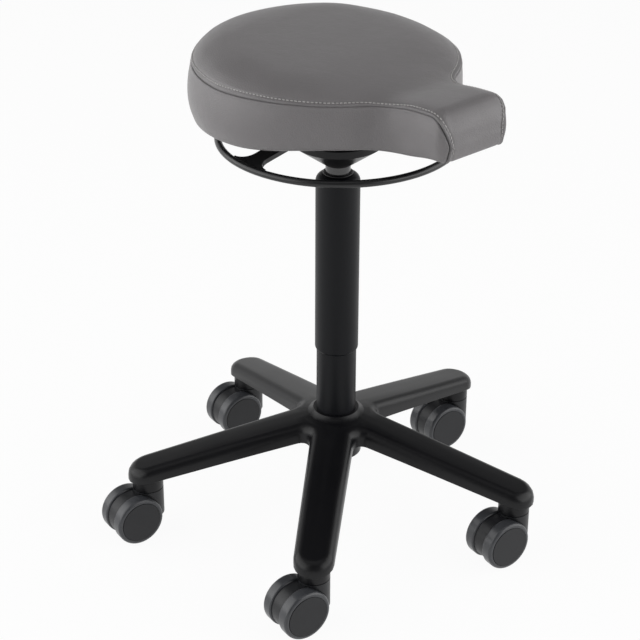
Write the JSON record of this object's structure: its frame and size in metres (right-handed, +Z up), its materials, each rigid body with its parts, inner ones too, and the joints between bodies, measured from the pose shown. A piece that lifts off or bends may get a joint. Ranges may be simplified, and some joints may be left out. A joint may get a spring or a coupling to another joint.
{
  "type": "saddle stool",
  "caption": "Height-adjustable saddle stool: padded round seat with a nose, ring lever, gas-spring column and star base on twin-wheel castors.",
  "frame": {"origin": "floor point under the column axis, in the plane that the castors rest on", "axes": "+Z up along the column; the nose of the seat points to -Y; +X is to the left of a sitter"},
  "size_m": [0.4947, 0.479, 0.5957],
  "materials": {
    "moulded_black": "satin moulded plastic",
    "painted_black": "semi-gloss powder coat",
    "lever_black": "semi-gloss moulded plastic",
    "steel": "bright zinc",
    "brass": "turned",
    "rubber": "matt",
    "tyre": "soft matt tread",
    "castor_grey": "fine satin texture",
    "leather": "fine grain, soft sheen",
    "plywood": "raw beech plywood",
    "cloth": "non-woven dust cover"
  },
  "bodies": {
    "base": {"star_base": "moulded_black", "column_tube": "painted_black", "guide_bush": "moulded_black", "foot_washer": "steel", "bearing_lower_race": "steel", "castor_stems": "steel", "stem_grip_rings": "steel"},
    "rod": {"piston_rod": "steel", "piston": "steel", "bearing_upper_race": "steel", "bump_stop": "rubber", "rod_clip": "steel"},
    "bearing": {"bearing_cage": "brass", "bearing_balls": "steel"},
    "seat": {"gas_cylinder": "painted_black", "rod_guide": "moulded_black", "seat_socket": "moulded_black", "pivot_pin": "steel", "seat_plate": "painted_black", "post_screws": "steel", "board_screws": "steel", "under_cover": "cloth", "seat_board": "plywood", "seat_cushion": "leather"},
    "lever": {"ring_lever": "lever_black"},
    "release": {"release_pin": "steel"},
    "castor_1": {"castor_1_housing": "castor_grey", "castor_1_axle": "steel"},
    "wheel_1_left": {"castor_1_disc_left": "castor_grey", "castor_1_tyre_left": "tyre"},
    "wheel_1_right": {"castor_1_disc_right": "castor_grey", "castor_1_tyre_right": "tyre"},
    "castor_2": {"castor_2_housing": "castor_grey", "castor_2_axle": "steel"},
    "wheel_2_left": {"castor_2_disc_left": "castor_grey", "castor_2_tyre_left": "tyre"},
    "wheel_2_right": {"castor_2_disc_right": "castor_grey", "castor_2_tyre_right": "tyre"},
    "castor_3": {"castor_3_housing": "castor_grey", "castor_3_axle": "steel"},
    "wheel_3_left": {"castor_3_disc_left": "castor_grey", "castor_3_tyre_left": "tyre"},
    "wheel_3_right": {"castor_3_disc_right": "castor_grey", "castor_3_tyre_right": "tyre"},
    "castor_4": {"castor_4_housing": "castor_grey", "castor_4_axle": "steel"},
    "wheel_4_left": {"castor_4_disc_left": "castor_grey", "castor_4_tyre_left": "tyre"},
    "wheel_4_right": {"castor_4_disc_right": "castor_grey", "castor_4_tyre_right": "tyre"},
    "castor_5": {"castor_5_housing": "castor_grey", "castor_5_axle": "steel"},
    "wheel_5_left": {"castor_5_disc_left": "castor_grey", "castor_5_tyre_left": "tyre"},
    "wheel_5_right": {"castor_5_disc_right": "castor_grey", "castor_5_tyre_right": "tyre"}
  },
  "joints": [
    {"name": "seat_swivel", "type": "hinge", "parent": "base", "child": "rod", "pos_m": [0, 0, 0.09263], "axis": [0, 0, 1], "continuous": true},
    {"name": "cage_creep", "type": "hinge", "parent": "base", "child": "bearing", "pos_m": [0, 0, 0.09263], "axis": [0, 0, 1], "continuous": true},
    {"name": "seat_lift", "type": "slide", "parent": "rod", "child": "seat", "axis": [0, 0, 1], "range_m": [0, 0.2]},
    {"name": "lever_tilt", "type": "hinge", "parent": "seat", "child": "lever", "pos_m": [-0.024, 0, 0.50653], "axis": [0, 1, 0], "range_deg": [0, 7], "stiffness_Nm_per_rad": 3.9, "springref_deg": -14.09},
    {"name": "release_press", "type": "slide", "parent": "seat", "child": "release", "axis": [0, 0, -1], "range_m": [0, 0.003]},
    {"name": "castor_1_swivel", "type": "hinge", "parent": "base", "child": "castor_1", "pos_m": [0.22385, 0.02274, 0.045], "axis": [0, 0, 1], "continuous": true},
    {"name": "wheel_1_left_spin", "type": "hinge", "parent": "castor_1", "child": "wheel_1_left", "pos_m": [0.20136, 0.02582, 0.0292], "axis": [-0.1357, -0.9907, 0], "continuous": true},
    {"name": "wheel_1_right_spin", "type": "hinge", "parent": "castor_1", "child": "wheel_1_right", "pos_m": [0.20136, 0.02582, 0.0292], "axis": [-0.1357, -0.9907, 0], "continuous": true},
    {"name": "castor_2_swivel", "type": "hinge", "parent": "base", "child": "castor_2", "pos_m": [0.04755, 0.21992, 0.045], "axis": [0, 0, 1], "continuous": true},
    {"name": "wheel_2_left_spin", "type": "hinge", "parent": "castor_2", "child": "wheel_2_left", "pos_m": [0.02506, 0.223, 0.0292], "axis": [-0.1357, -0.9907, 0], "continuous": true},
    {"name": "wheel_2_right_spin", "type": "hinge", "parent": "castor_2", "child": "wheel_2_right", "pos_m": [0.02506, 0.223, 0.0292], "axis": [-0.1357, -0.9907, 0], "continuous": true},
    {"name": "castor_3_swivel", "type": "hinge", "parent": "base", "child": "castor_3", "pos_m": [-0.19446, 0.11318, 0.045], "axis": [0, 0, 1], "continuous": true},
    {"name": "wheel_3_left_spin", "type": "hinge", "parent": "castor_3", "child": "wheel_3_left", "pos_m": [-0.21695, 0.11626, 0.0292], "axis": [-0.1357, -0.9907, 0], "continuous": true},
    {"name": "wheel_3_right_spin", "type": "hinge", "parent": "castor_3", "child": "wheel_3_right", "pos_m": [-0.21695, 0.11626, 0.0292], "axis": [-0.1357, -0.9907, 0], "continuous": true},
    {"name": "castor_4_swivel", "type": "hinge", "parent": "base", "child": "castor_4", "pos_m": [-0.16773, -0.14997, 0.045], "axis": [0, 0, 1], "continuous": true},
    {"name": "wheel_4_left_spin", "type": "hinge", "parent": "castor_4", "child": "wheel_4_left", "pos_m": [-0.19022, -0.14689, 0.0292], "axis": [-0.1357, -0.9907, 0], "continuous": true},
    {"name": "wheel_4_right_spin", "type": "hinge", "parent": "castor_4", "child": "wheel_4_right", "pos_m": [-0.19022, -0.14689, 0.0292], "axis": [-0.1357, -0.9907, 0], "continuous": true},
    {"name": "castor_5_swivel", "type": "hinge", "parent": "base", "child": "castor_5", "pos_m": [0.0908, -0.20587, 0.045], "axis": [0, 0, 1], "continuous": true},
    {"name": "wheel_5_left_spin", "type": "hinge", "parent": "castor_5", "child": "wheel_5_left", "pos_m": [0.06831, -0.20278, 0.0292], "axis": [-0.1357, -0.9907, 0], "continuous": true},
    {"name": "wheel_5_right_spin", "type": "hinge", "parent": "castor_5", "child": "wheel_5_right", "pos_m": [0.06831, -0.20278, 0.0292], "axis": [-0.1357, -0.9907, 0], "continuous": true}
  ],
  "couplings": [
    {"joint": "cage_creep", "follows": "seat_swivel", "ratio": 0.5},
    {"joint": "release_press", "follows": "lever_tilt", "m_per_rad": 0.024}
  ]
}
